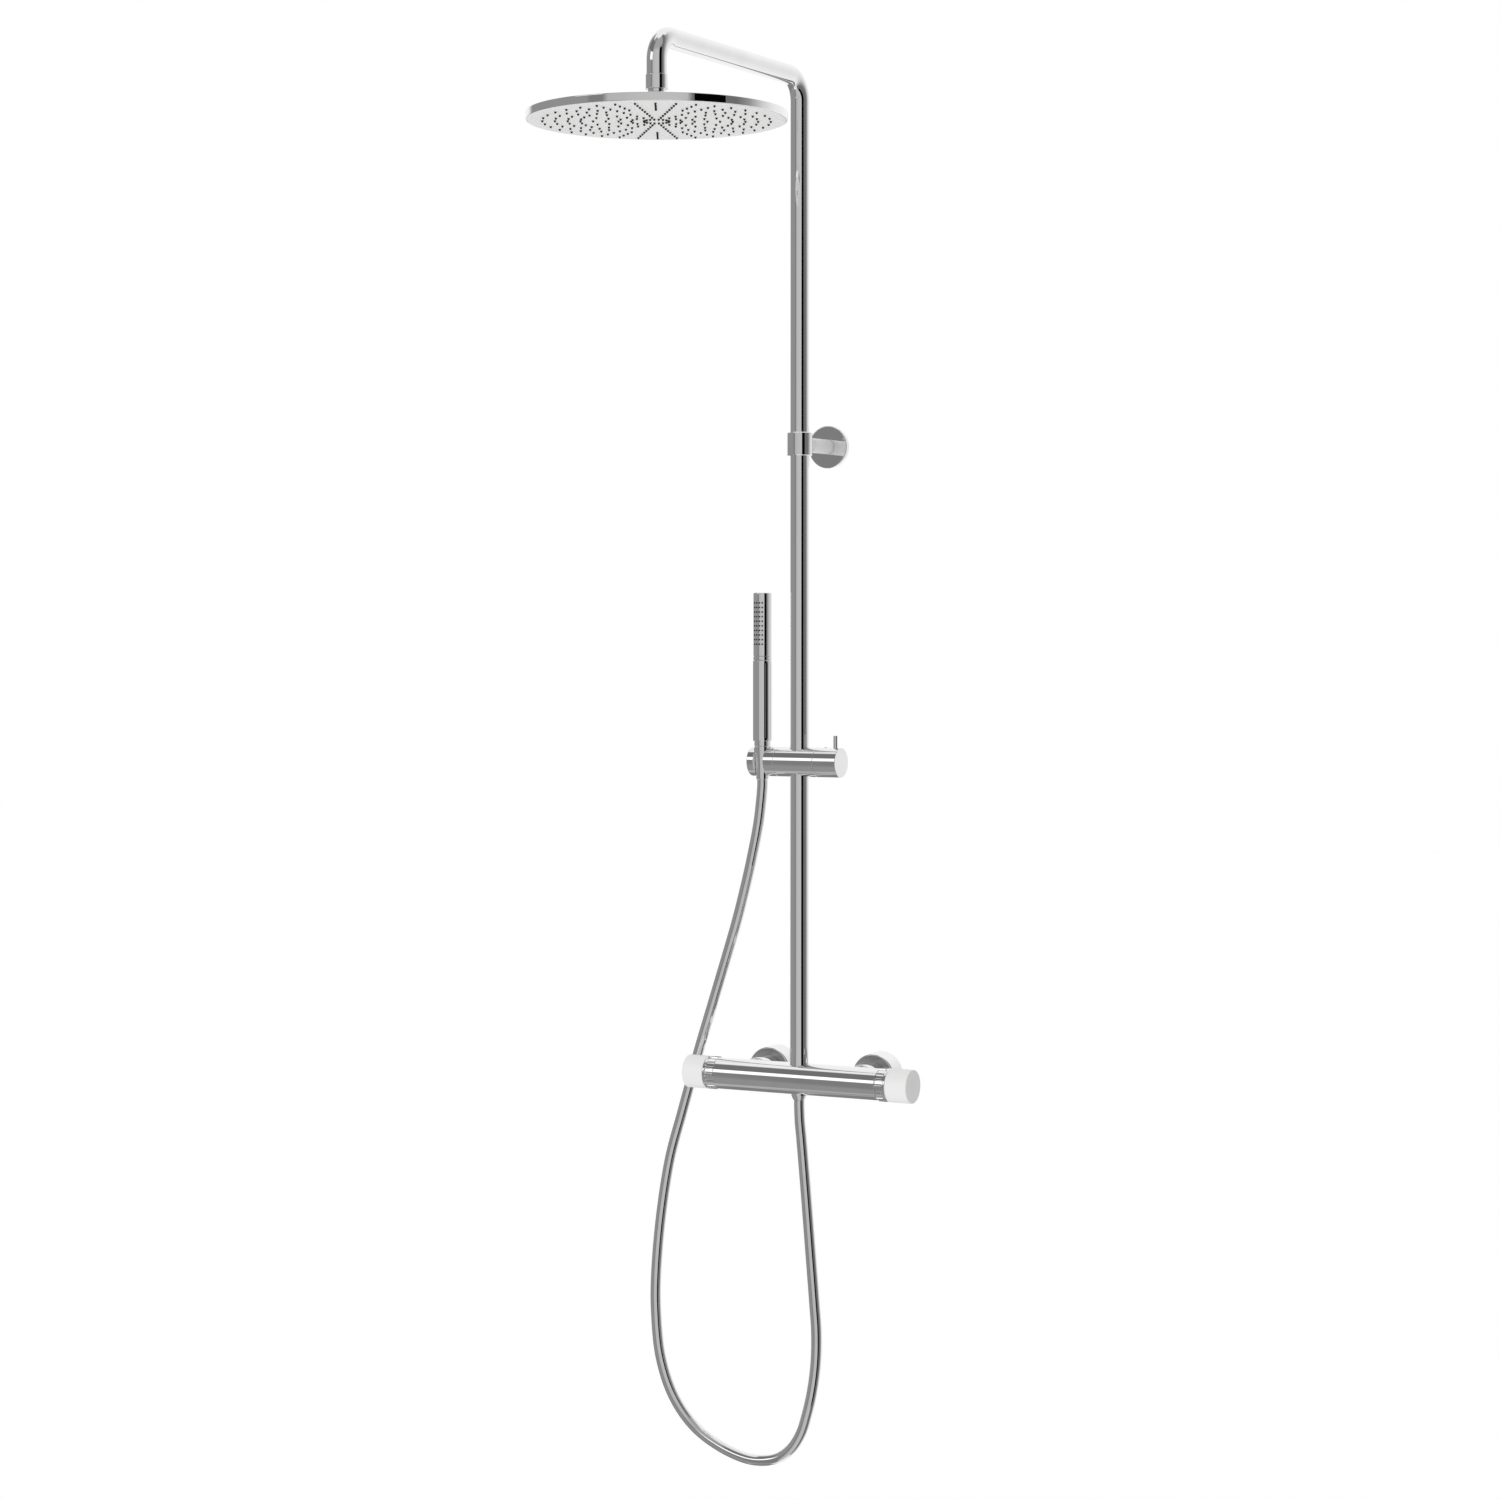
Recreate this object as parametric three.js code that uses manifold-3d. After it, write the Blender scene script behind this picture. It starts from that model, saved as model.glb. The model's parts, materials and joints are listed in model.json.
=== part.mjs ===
// Rainfall shower column: exposed thermostatic mixer, riser with swan-neck arm, overhead rose,
// sliding holder and hand shower.
// Millimetres. X runs right along the wall, Y runs into the wall (the wall plane is Y = 0), Z runs up.
// The origin lies on the wall plane, midway between the two inlets at the height of the mixer's axis.
import * as THREE from "three";
import { mergeVertices } from "three/addons/utils/BufferGeometryUtils.js";
import Module from "manifold-3d";

const wasm = await Module();
wasm.setup();

// ---- driving sizes ----
const columnY = -83; // the riser's axis, in front of the wall
const gap = 0.3; // left between neighbouring pieces that touch or screw together
const inletX = 75; // half the 150 mm inlet spacing
const tubeR = 12; // riser and arm, 24 mm tube
const tubeBoreR = 10.8;
const mixerR = 20;
const handleR = 21;
const bodyEnd = 115; // the mixer body's half length
const ringEnd = 130; // outer end of a handle's metal ring
const handleEnd = 160; // outer end of a handle's cap
const boreEnd = 45; // inner end of a cartridge bore
const bracketZ = 798.7;
const collarR = 16;
const collarHalf = 14.65;
const armZ = 1255; // axis of the level arm
const bendR = 30; // centreline radius of the arm's two bends
const reach = 352; // riser axis to overhead rose axis
const roseY = columnY - reach;
const roseR = 152;
const roseFaceZ = 1155; // the spray face
const ballZ = 1176; // centre of the rose's ball joint
const ballR = 11;
const sliderZ = 400;
const sliderR = 18.7;
const holderX = -50; // the hand shower's axis in its holder
const holderY = columnY - 5.5;
const nutTopZ = 419.2; // upper end of the conical hose nut
const nutFootZ = 377.3;
const hoseR = 7;
const outletZ = -27; // where the hose leaves the outlet nut

// facets round a turned piece
const fine = 24;
const medium = 16;
const small = 8;
const roseSides = 36;
const hoseSides = 8;
const recesses = 14; // finger recesses round a handle's ring
const ringSides = 3 * recesses;

// ---- materials ----
function finish(color, roughness, metalness) {
  return new THREE.MeshStandardMaterial({ color, roughness, metalness });
}
const chrome = finish(0xd8dadd, 0.08, 1);
const whiteCap = finish(0xeeeeec, 0.45, 0);
const faceGrey = finish(0xe2e2e0, 0.4, 0);
const brass = finish(0xc9a45a, 0.35, 1);
const steel = finish(0x9fa2a5, 0.3, 1);
const blackRubber = finish(0x17181a, 0.8, 0);
const whitePlastic = finish(0xf2f1ec, 0.5, 0);

// ---- solids ----
function solid(geometry) {
  const bare = geometry.clone();
  bare.deleteAttribute("normal");
  bare.deleteAttribute("uv");
  const merged = mergeVertices(bare, 1e-4);
  const vertProperties = merged.attributes.position.array;
  const triVerts = new Uint32Array(merged.index.array);
  return new wasm.Manifold(new wasm.Mesh({ numProp: 3, vertProperties, triVerts }));
}

function geometryOf(made) {
  const mesh = made.getMesh();
  const geometry = new THREE.BufferGeometry();
  geometry.setAttribute("position", new THREE.BufferAttribute(mesh.vertProperties, 3));
  geometry.setIndex(new THREE.BufferAttribute(mesh.triVerts, 1));
  return geometry;
}

function cut(base, ...tools) {
  let made = solid(base);
  for (const tool of tools) made = made.subtract(solid(tool));
  return geometryOf(made);
}

function join(...pieces) {
  let made = solid(pieces[0]);
  for (const piece of pieces.slice(1)) made = made.add(solid(piece));
  return geometryOf(made);
}

// A turned piece about Z. The profile lists [radius, z], rising on its outer side.
function turned(profile, sides = medium) {
  const points = profile.map(([r, z]) => new THREE.Vector2(r, z));
  return new THREE.LatheGeometry(points, sides).rotateX(Math.PI / 2);
}

function rod(r, z0, z1, sides) {
  return turned([[0, z0], [r, z0], [r, z1], [0, z1]], sides);
}

function sleeve(outer, inner, z0, z1, sides) {
  return turned([[inner, z0], [outer, z0], [outer, z1], [inner, z1], [inner, z0]], sides);
}

function alongX(geometry) {
  return geometry.rotateY(Math.PI / 2);
}

function alongY(geometry) {
  return geometry.rotateX(-Math.PI / 2);
}

// Points of an arc of a profile, about [0, z], from one angle to another, in degrees above the equator.
function arcProfile(radius, z, from, to, steps) {
  const points = [];
  for (let i = 0; i <= steps; i++) {
    const a = THREE.MathUtils.degToRad(from + ((to - from) * i) / steps);
    points.push([radius * Math.cos(a), z + radius * Math.sin(a)]);
  }
  return points;
}

const column = new THREE.Group();

function add(parent, name, geometry, material) {
  const mesh = new THREE.Mesh(geometry, material);
  mesh.name = name;
  parent.add(mesh);
  return mesh;
}

function place(parent, x, y, z) {
  const group = new THREE.Group();
  group.position.set(x, y, z);
  parent.add(group);
  return group;
}

// A group whose local Z leaves the wall.
function onWall(x, z) {
  const group = place(column, x, 0, z);
  group.rotation.x = Math.PI / 2;
  return group;
}

// ---- mixer body, its axis along X ----
const mixer = place(column, 0, columnY, 0);
const bossEnd = 28; // the inlet bosses reach this far behind the mixer's axis
const bossR = 16.5;
const portR = 8;

function mixerBody() {
  const tube = alongX(turned([
    [0, -bodyEnd], [mixerR - 0.6, -bodyEnd], [mixerR, -bodyEnd + 0.6],
    [mixerR, bodyEnd - 0.6], [mixerR - 0.6, bodyEnd], [0, bodyEnd],
  ], fine));
  const bosses = [-inletX, inletX].map((x) => alongY(rod(bossR, 0, bossEnd)).translate(x, 0, 0));
  const cartridgeBoreR = 15.6;
  const bores = [
    alongX(rod(cartridgeBoreR, -bodyEnd - 1, -boreEnd)),
    alongX(rod(cartridgeBoreR, boreEnd, bodyEnd + 1)),
  ];
  const waterwayR = 4;
  const waterway = alongX(rod(waterwayR, -boreEnd - 1, boreEnd + 1, small));
  const outlets = rod(portR, -mixerR - 1, mixerR + 1, medium);
  const inlet = () => alongY(rod(portR, 0, bossEnd + 1, medium));
  const inlets = [-inletX, inletX].map((x) => inlet().translate(x, 0, 0));
  return cut(join(tube, ...bosses), ...bores, waterway, outlets, ...inlets);
}
add(mixer, "mixer_body", mixerBody(), chrome);

// ---- one handle with its cartridge; side is +1 on the right and -1 on the left ----
function handle(side, names) {
  const group = place(mixer, 0, 0, 0);
  group.rotation.y = (side * Math.PI) / 2;
  const cartridge = turned([
    [0, boreEnd + 1], [15.2, boreEnd + 1], [15.2, 58], [13.4, 58], [13.4, 92], [15.2, 92],
    [15.2, 111], [8, 111], [8, 117.5], [0, 117.5],
  ], medium);
  add(group, names.cartridge, cartridge, whitePlastic);
  add(group, names.spindle, turned([[0, 118], [4.8, 118], [4.8, 130], [4, 131], [0, 131]], small), brass);

  // Finger recesses with round ends run round the ring and open towards the mixer body.
  const ring = sleeve(handleR, 17.2, bodyEnd + 0.6, ringEnd - gap, ringSides);
  const tools = [];
  for (let i = 0; i < recesses; i++) {
    const end = rod(3.4, handleR - 1, handleR + 3, small);
    const channel = new THREE.BoxGeometry(6.8, 20, 4).translate(0, -10, handleR + 1);
    const turn = new THREE.Matrix4().makeRotationZ((i * 2 * Math.PI) / recesses);
    const lay = new THREE.Matrix4().makeRotationX(Math.PI / 2);
    const move = new THREE.Matrix4().makeTranslation(0, 0, bodyEnd + 9);
    const pose = move.multiply(turn).multiply(lay);
    tools.push(end.applyMatrix4(pose), channel.applyMatrix4(pose));
  }
  add(group, names.ring, cut(ring, ...tools), chrome);
  const cap = turned([
    [0, 152], [5.2, 152], [5.2, 119], [8, 119], [8, 155], [18.6, 155], [18.6, ringEnd],
    [handleR, ringEnd], [handleR, handleEnd - 0.8], [handleR - 0.8, handleEnd], [0, handleEnd],
  ], fine);
  add(group, names.cap, cap, whiteCap);
}
handle(1, {
  cartridge: "thermostatic_cartridge", spindle: "temperature_spindle",
  ring: "temperature_ring", cap: "temperature_cap",
});
handle(-1, {
  cartridge: "diverter_cartridge", spindle: "flow_spindle", ring: "flow_ring", cap: "flow_cap",
});

// ---- inlets: what is between the wall and each boss ----
const bossFace = -columnY - bossEnd; // distance of a boss's face from the wall

function inlet(name, x) {
  const group = onWall(x, 0);
  const rose = turned([
    [14, 25.3], [27.8, 25.3], [29.4, 0], [30.6, 0], [29.2, 25.8], [28.4, 26.6], [14, 26.6], [14, 25.3],
  ], fine);
  add(group, name + "_escutcheon", rose, chrome);
  const threadDepth = 14; // the wall end screws this far into the pipe fitting
  const union = turned([
    [7, -threadDepth], [10.3, -threadDepth], [10.3, 8], [13.2, 12], [13.2, bossFace - 3], [9, bossFace - 3],
    [9, 14], [7, 10], [7, -threadDepth],
  ], medium);
  add(group, name + "_union", union, brass);
  const washerFoot = bossFace - 3 + gap;
  add(group, name + "_filter_washer", sleeve(13, 8.5, washerFoot, bossFace - gap, medium), blackRubber);
  const nutFoot = 31;
  const nut = turned([
    [13.6, nutFoot], [18.6, nutFoot], [19.5, nutFoot + 1], [19.5, 59], [16.9, 59], [16.9, bossFace - 2],
    [13.6, bossFace - 2], [13.6, nutFoot],
  ], medium);
  add(group, name + "_union_nut", nut, chrome);
  add(group, name + "_check_valve", rod(portR - gap, bossFace + 1, bossFace + 12, small), whitePlastic);
}
inlet("hot", -inletX);
inlet("cold", inletX);

// ---- hose outlet under the mixer ----
const axis = place(column, 0, columnY, 0);
const mixerClear = () => alongX(rod(mixerR + gap, -40, 40, fine));
const outletNipple = turned([
  [3.5, -25.5], [5.5, -25.5], [5.5, -20.6], [portR - gap, -19.5], [portR - gap, -9], [3.5, -9],
  [3.5, -25.5],
], medium);
add(axis, "outlet_nipple", outletNipple, brass);
const lowerNut = turned([
  [5.8, -26.7], [7.6, -26.7], [10.3, -20.6], [10.3, -14], [8.1, -14], [8.1, -20], [5.8, -21],
  [5.8, -26.7],
], medium);
add(axis, "hose_lower_nut", cut(lowerNut, mixerClear()), chrome);

// ---- riser, coupler and swan-neck arm ----
const riserNipple = turned([
  [4, 6], [portR - gap, 6], [portR - gap, 20.5], [10.4, 20.5], [10.4, 27.5], [9, 27.5], [9, 30.5],
  [10.4, 30.5], [10.4, 36], [4, 36], [4, 6],
], medium);
add(axis, "riser_nipple", riserNipple, brass);
add(axis, "riser_o_ring", sleeve(10.6, 9.3, 27.8, 30.2, medium), blackRubber);
const riser = sleeve(tubeR, tubeBoreR, 14, bracketZ - gap / 2, medium);
add(axis, "riser_tube", cut(riser, mixerClear()), chrome);
add(axis, "tube_coupler", sleeve(tubeBoreR - gap, 8, bracketZ - 28, bracketZ + 28, medium), brass);

// The arm's centreline in the Y-Z plane: up, over the first bend, level, over the second bend, down.
const armFootZ = bracketZ + gap / 2;
const dropEndZ = 1195;
const bendSteps = 8;
const bendFootZ = armZ - bendR; // height of both bends' centres

// Stations of a quarter bend about the point y, from one angle to another, in quarter turns.
function bend(y, from, to) {
  const stations = [];
  for (let i = 0; i <= bendSteps; i++) {
    const a = ((from + ((to - from) * i) / bendSteps) * Math.PI) / 2;
    stations.push(new THREE.Vector3(0, y + bendR * Math.cos(a), bendFootZ + bendR * Math.sin(a)));
  }
  return stations;
}
const armStations = [
  new THREE.Vector3(0, 0, armFootZ),
  ...bend(-bendR, 0, 1),
  ...bend(-reach + bendR, 1, 2),
  new THREE.Vector3(0, -reach, dropEndZ),
];

// A centreline whose steps fall on the stations, so that straight stretches take one step each.
class StationPath extends THREE.Curve {
  constructor(stations) {
    super();
    this.stations = stations;
  }
  getPoint(t, target = new THREE.Vector3()) {
    const last = this.stations.length - 1;
    const i = Math.min(Math.floor(t * last + 1e-9), last - 1);
    return target.copy(this.stations[i]).lerp(this.stations[i + 1], t * last - i);
  }
  getPointAt(u, target) {
    return this.getPoint(u, target);
  }
  getTangentAt(u, target = new THREE.Vector3()) {
    const last = this.stations.length - 1;
    const i = Math.round(u * last);
    const before = this.stations[Math.max(i - 1, 0)];
    const after = this.stations[Math.min(i + 1, last)];
    const here = this.stations[i];
    const into = i > 0 ? here.clone().sub(before).normalize() : new THREE.Vector3();
    const out = i < last ? after.clone().sub(here).normalize() : new THREE.Vector3();
    return target.copy(into.add(out).normalize());
  }
}

function pipe(stations, outer, inner, sides) {
  const section = new THREE.Shape().absarc(0, 0, outer, 0, 2 * Math.PI, false);
  if (inner > 0) section.holes.push(new THREE.Path().absarc(0, 0, inner, 0, 2 * Math.PI, true));
  return new THREE.ExtrudeGeometry(section, {
    steps: stations.length - 1, extrudePath: new StationPath(stations), curveSegments: sides / 2,
    bevelEnabled: false,
  });
}
add(axis, "shower_arm", pipe(armStations, tubeR, tubeBoreR, medium), chrome);

// ---- overhead rose and its ball joint ----
const rose = place(column, 0, roseY, 0);
add(rose, "arm_ferrule", sleeve(13, tubeR + gap, 1191.5, 1208.2, medium), chrome);
const neckR = 6.4;
const shoulderR = 10.4; // the stem widens to this under the ferrule
const boreR = 4;
const ballTop = THREE.MathUtils.radToDeg(Math.acos(neckR / ballR));
const ballFoot = -THREE.MathUtils.radToDeg(Math.acos(boreR / ballR));
const ballStem = turned([
  ...arcProfile(ballR, ballZ, ballFoot, ballTop, 10),
  [neckR, 1187], [shoulderR, 1187.8], [shoulderR, 1191.7], [11.9, 1191.7], [11.9, dropEndZ - gap],
  [10.5, dropEndZ - gap], [10.5, 1206], [boreR, 1206],
  [boreR, ballZ - ballR * Math.sin(THREE.MathUtils.degToRad(-ballFoot))],
], medium);
add(rose, "ball_stem", ballStem, chrome);
add(rose, "flow_limiter", sleeve(boreR - gap, 1.5, 1196, 1200, small), whitePlastic);
const seatR = ballR + gap;
const sealR = 13.2; // the seal is a spherical cup, so it swings freely inside the rose's boss
const sealOuter = arcProfile(sealR, ballZ, -68, -25, 6);
const seal = turned([...sealOuter, ...arcProfile(seatR, ballZ, -25, -68, 6), sealOuter[0]], medium);
add(rose, "ball_seal", seal, blackRubber);
const seatTop = 32;
const ballNut = turned([
  [15.1, 1169], [18.4, 1169], [18.4, 1182], [17.4, 1183], [10.4, 1183],
  ...arcProfile(seatR, ballZ, seatTop, 2, 6), [15.1, ballZ], [15.1, 1169],
], medium);
add(rose, "ball_nut", ballNut, chrome);
const wallInR = roseR - 1.8; // inside of the shell's side wall
const shell = turned([
  [wallInR, roseFaceZ + 0.3], [151.5, roseFaceZ + 0.3], [roseR, roseFaceZ + 0.9],
  [roseR, roseFaceZ + 9], [roseR - 0.7, roseFaceZ + 9.6], [60, 1165.6], [24, 1167], [20, 1168.4],
  [14.8, 1168.4], [14.8, 1173], [13.6, 1173], [13.6, 1160.8], [5, 1160.8], [5, 1158.6],
  [16, 1158.6], [18, 1164.2], [60, 1163.6], [148, 1162.6], [wallInR, 1161], [wallInR, roseFaceZ + 0.3],
], roseSides);
add(rose, "rose_shell", shell, chrome);
add(rose, "rose_gasket", sleeve(wallInR - 0.6, 145, 1157.6, 1160.4, roseSides), blackRubber);
add(rose, "spray_plate", rod(wallInR - gap, roseFaceZ, 1157.3, roseSides), faceGrey);

// ---- wall bracket ----
const bracket = onWall(0, bracketZ);
const flange = turned([
  [5.2, 5.6], [24.9, 5.6], [24.9, 0], [27, 0], [27, 6.7], [26.2, 7.5], [5.2, 7.5], [5.2, 5.6],
], fine);
add(bracket, "bracket_flange", flange, chrome);
const screwX = 14;
const discHoles = [-screwX, screwX].map((x) => rod(2.6, -1, 4, small).translate(x, 0, 0));
add(bracket, "wall_disc", cut(sleeve(24.5, 3.4, 0, 3, medium), ...discHoles), steel);
[-screwX, screwX].forEach((x, i) => {
  const screw = turned([
    [0, -22], [2.2, -17], [2.2, 3.3], [4.2, 3.3], [4.2, 4.4], [2.5, 5.2], [0, 5.2],
  ], small);
  add(bracket, "disc_screw_" + (i + 1), screw.translate(x, 0, 0), steel);
});
const neckFoot = 55; // where the spacer steps down to its neck
const aroundRiser = (r) => rod(r, -30, 30, fine).rotateX(Math.PI / 2).translate(0, 0, -columnY);
const spacer = turned([
  [3.3, 7.8], [9.3, 7.8], [9.3, neckFoot - 0.5], [8.8, neckFoot], [6.8, neckFoot], [6.8, 72],
  [3.3, 72], [3.3, 7.8],
], medium);
add(bracket, "bracket_spacer", cut(spacer, aroundRiser(collarR + gap)), whiteCap);
add(bracket, "bracket_stud", rod(2.9, 0.4, 69.6, small), steel);
const collar = sleeve(collarR, tubeR + 0.35, -collarHalf, collarHalf, fine);
const studHole = alongY(rod(3.3, 8, 20, small));
const grubTurn = Math.PI / 4; // the collar's grub screw is at the back, on the left
const towardsGrub = (geometry) => alongY(geometry).rotateZ(grubTurn);
const collarGroup = place(column, 0, columnY, bracketZ);
add(collarGroup, "bracket_collar", cut(collar, studHole, towardsGrub(rod(2.3, 10, 20, small))), chrome);
add(collarGroup, "collar_grub_screw", towardsGrub(rod(2, tubeR + 0.6, collarR - 0.8, small)), steel);

// ---- slider: body, clamp knob and tilting holder, all about an axis along X ----
const slider = place(column, 0, columnY, sliderZ);
const sliderLeft = -27.7;
const sliderRight = 26.7;
const riserClear = 0.25;
const seam = 0.6;
const clampBoreR = 6.4;
const sliderBody = cut(
  alongX(rod(sliderR, sliderLeft, sliderRight, fine)),
  rod(tubeR + riserClear, -25, 25, fine),
  alongX(rod(clampBoreR, 0, sliderRight + 1, medium)),
  alongX(rod(3.4, sliderLeft - 1, 0, small)),
);
add(slider, "slider_body", sliderBody, chrome);
const brakeShoe = cut(alongX(rod(clampBoreR - gap, 8, 17, medium)), rod(tubeR + riserClear, -25, 25, fine));
add(slider, "brake_shoe", brakeShoe, whitePlastic);
const clampScrew = turned([[0, 17.4], [6, 17.4], [6, 25.6], [4, 26.4], [4, 40.5], [0, 40.5]], medium);
add(slider, "clamp_screw", alongX(clampScrew), steel);
const knobFoot = sliderRight + seam;
const knobEnd = 59.2;
const pinX = 51;
const grubX = 37.5;
const knob = cut(
  alongX(turned([
    [0, knobFoot], [sliderR, knobFoot], [sliderR, knobEnd - 0.5], [sliderR - 0.5, knobEnd], [0, knobEnd],
  ], fine)),
  alongX(rod(4.3, knobFoot - 1, 41, medium)),
  rod(3.05, 10, 25, small).translate(pinX, 0, 0),
  rod(2.3, 3, 25, small).translate(grubX, 0, 0),
);
add(slider, "lock_knob", knob, chrome);
const pinTop = 33.8;
const pinProfile = [[0, 10.4], [2.75, 10.4], [2.75, pinTop - 0.4], [2.35, pinTop], [0, pinTop]];
add(slider, "lever_pin", turned(pinProfile, small).translate(pinX, 0, 0), chrome);
add(slider, "knob_grub_screw", rod(2, 4.4, sliderR + 0.2, small).translate(grubX, 0, 0), steel);

const holderLeft = -66.4;
const holderRight = sliderLeft - seam;
const mouth = 14.6; // width of the holder's front slot
const headRecess = -36.4; // floor of the recess for the holder screw's head
const coneR = (z) => 8 + ((z - nutFootZ) * (10.7 - 8)) / (nutTopZ - nutFootZ);
const socket = turned([
  [0, -25], [coneR(sliderZ - 25) + gap, -25], [coneR(sliderZ + 25) + gap, 25], [0, 25],
], medium).translate(holderX, holderY - columnY, 0);
const holder = cut(
  alongX(turned([
    [0, holderLeft], [sliderR - 0.5, holderLeft], [sliderR, holderLeft + 0.5], [sliderR, holderRight],
    [0, holderRight],
  ], fine)),
  socket,
  new THREE.BoxGeometry(mouth, 30, 50).translate(holderX, holderY - columnY - 15, 0),
  alongX(rod(5.3, -48, headRecess, small)),
  alongX(rod(3.4, -48, holderRight + 1, small)),
);
add(slider, "holder", holder, chrome);
const washerTop = headRecess - 0.9;
const screwHead = washerTop - gap;
const holderScrew = turned([
  [0, screwHead - 1.9], [4.8, screwHead - 1.9], [4.8, screwHead], [3, screwHead], [3, -14], [0, -14],
], small);
add(slider, "holder_screw", alongX(holderScrew), steel);
add(slider, "spring_washer", alongX(sleeve(4.9, 3.3, washerTop, headRecess - gap, small)), steel);

// ---- hand shower, standing in the holder ----
const hand = place(column, holderX, holderY, 0);
const handR = 12;
const gripR = 12.3;
const handTop = 613;
const sprayFoot = 533;
const gripTop = 527.6;
const gripFoot = 426;
const sprayTube = turned([
  [9.6, sprayFoot], [handR, sprayFoot], [handR, handTop - 1], [handR - 1, handTop], [0, handTop],
  [0, handTop - 3], [9.6, handTop - 3], [9.6, sprayFoot],
], medium);
add(hand, "spray_tube", sprayTube, chrome);
add(hand, "handset_ring", sleeve(handR, 10, gripTop + gap, sprayFoot - gap, medium), chrome);
add(hand, "handset_grip", sleeve(gripR, 9.8, gripFoot, gripTop, medium), chrome);
add(hand, "handset_waterway", sleeve(9.4, 7, 430, sprayFoot + 6, small), whitePlastic);
const stripHalf = THREE.MathUtils.degToRad(40);
const strip = new THREE.Shape();
strip.absarc(0, 0, 9.3, -Math.PI / 2 - stripHalf, -Math.PI / 2 + stripHalf, false);
strip.absarc(0, 0, 7.6, -Math.PI / 2 + stripHalf, -Math.PI / 2 - stripHalf, true);
const stripFoot = 542;
const stripShape = { depth: 64, bevelEnabled: false, curveSegments: 8 };
const stripGeometry = new THREE.ExtrudeGeometry(strip, stripShape).translate(0, 0, stripFoot);
add(hand, "nozzle_strip", stripGeometry, blackRubber);
const inletPiece = turned([
  [4.5, 404.6], [6.5, 404.6], [6.5, nutTopZ + gap], [10.7, nutTopZ + gap], [10.7, gripFoot - gap],
  [9.4, gripFoot - gap], [9.4, 429.6], [4.5, 429.6], [4.5, 404.6],
], medium);
add(hand, "handset_inlet", inletPiece, chrome);
add(hand, "hose_washer", sleeve(6.6, 4.6, 402.6, 404.3, small), blackRubber);
const coneNut = turned([
  [4.5, nutFootZ], [coneR(nutFootZ), nutFootZ], [coneR(nutTopZ), nutTopZ], [6.9, nutTopZ], [6.9, 402.2],
  [4.5, 402.2], [4.5, nutFootZ],
], medium);
add(hand, "hose_cone_nut", coneNut, chrome);

// ---- shower hose, 1.5 m ----
// Its middle line goes down from the conical nut, behind the left handle, round and up to the outlet.
const hoseRoute = [
  [holderX, holderY, nutFootZ - gap], [holderX, holderY, 369], [-51.5, -88.3, 354],
  [-57, -86, 322], [-70, -79, 279], [-83, -71.5, 243], [-101, -63, 195], [-120, -57, 146],
  [-142, -52, 88], [-166.5, -49, 19], [-180, -49, -26], [-190, -51, -62], [-204.5, -55.5, -118],
  [-214.5, -62.5, -195], [-217.5, -70, -270], [-215.5, -74, -315], [-205.5, -79, -375],
  [-185, -82, -423], [-154, -84, -458], [-116, -86, -479], [-76, -87, -490.5],
  [-51, -86.5, -491], [-28, -86.2, -485], [-9.5, -86, -471], [4, -85.5, -450],
  [12, -85, -426], [19.5, -84.5, -395], [24.5, -84, -357], [25, -83.5, -319], [22, -83, -283],
  [15.5, -83, -209], [9, -83, -136], [3.2, -83, -75], [0.8, -83, -52],
  [0, columnY, -35], [0, columnY, outletZ - gap],
];
function hoseStations() {
  const points = hoseRoute.map((p) => new THREE.Vector3(...p));
  const ends = [points.shift(), points.pop()]; // the hose is straight next to each nut
  const curve = new THREE.CatmullRomCurve3(points, false, "centripetal");
  const steps = 46;
  return [ends[0], ...curve.getSpacedPoints(steps), ends[1]];
}
add(column, "shower_hose", pipe(hoseStations(), hoseR, 0, hoseSides), chrome);

export default column;
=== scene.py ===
# Rainfall shower column: chrome thermostatic mixer, riser and arm, overhead rose, slider and hand shower.
# Lengths are millimetres in the part's own frame, and every mesh is scaled to metres as it is made.
import json
import math

import bpy
import numpy as np
from mathutils import Matrix, Vector


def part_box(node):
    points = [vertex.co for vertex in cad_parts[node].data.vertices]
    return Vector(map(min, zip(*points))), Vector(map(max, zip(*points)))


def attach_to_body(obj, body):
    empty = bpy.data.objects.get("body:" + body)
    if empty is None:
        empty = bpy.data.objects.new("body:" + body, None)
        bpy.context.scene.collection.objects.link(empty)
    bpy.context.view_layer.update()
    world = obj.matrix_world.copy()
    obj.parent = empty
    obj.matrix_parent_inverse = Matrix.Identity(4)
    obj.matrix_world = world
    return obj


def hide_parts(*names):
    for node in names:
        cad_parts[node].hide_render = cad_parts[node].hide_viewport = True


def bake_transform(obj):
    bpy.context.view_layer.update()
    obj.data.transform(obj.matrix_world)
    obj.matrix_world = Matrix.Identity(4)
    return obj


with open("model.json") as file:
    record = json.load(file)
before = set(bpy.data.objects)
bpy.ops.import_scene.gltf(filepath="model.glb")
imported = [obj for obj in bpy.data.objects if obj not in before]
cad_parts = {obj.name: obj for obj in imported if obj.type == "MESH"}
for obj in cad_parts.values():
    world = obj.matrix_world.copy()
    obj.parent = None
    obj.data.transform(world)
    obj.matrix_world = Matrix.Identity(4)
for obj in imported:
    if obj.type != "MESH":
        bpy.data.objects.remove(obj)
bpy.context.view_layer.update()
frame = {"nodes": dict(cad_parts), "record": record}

MM = 0.001
record = frame["record"]
scene = bpy.context.scene
body_of = {node: body for body, nodes in record["behaviour"]["bodies"].items() for node in nodes}
slot_of = {part["node"]: part["material_slot"] for part in record["subparts"]}


class Place:
    """Where a CAD node is, in millimetres."""

    def __init__(self, node):
        low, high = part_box(node)
        self.low = low / MM
        self.high = high / MM
        self.centre = (self.low + self.high) / 2
        self.half = (self.high - self.low) / 2


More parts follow.
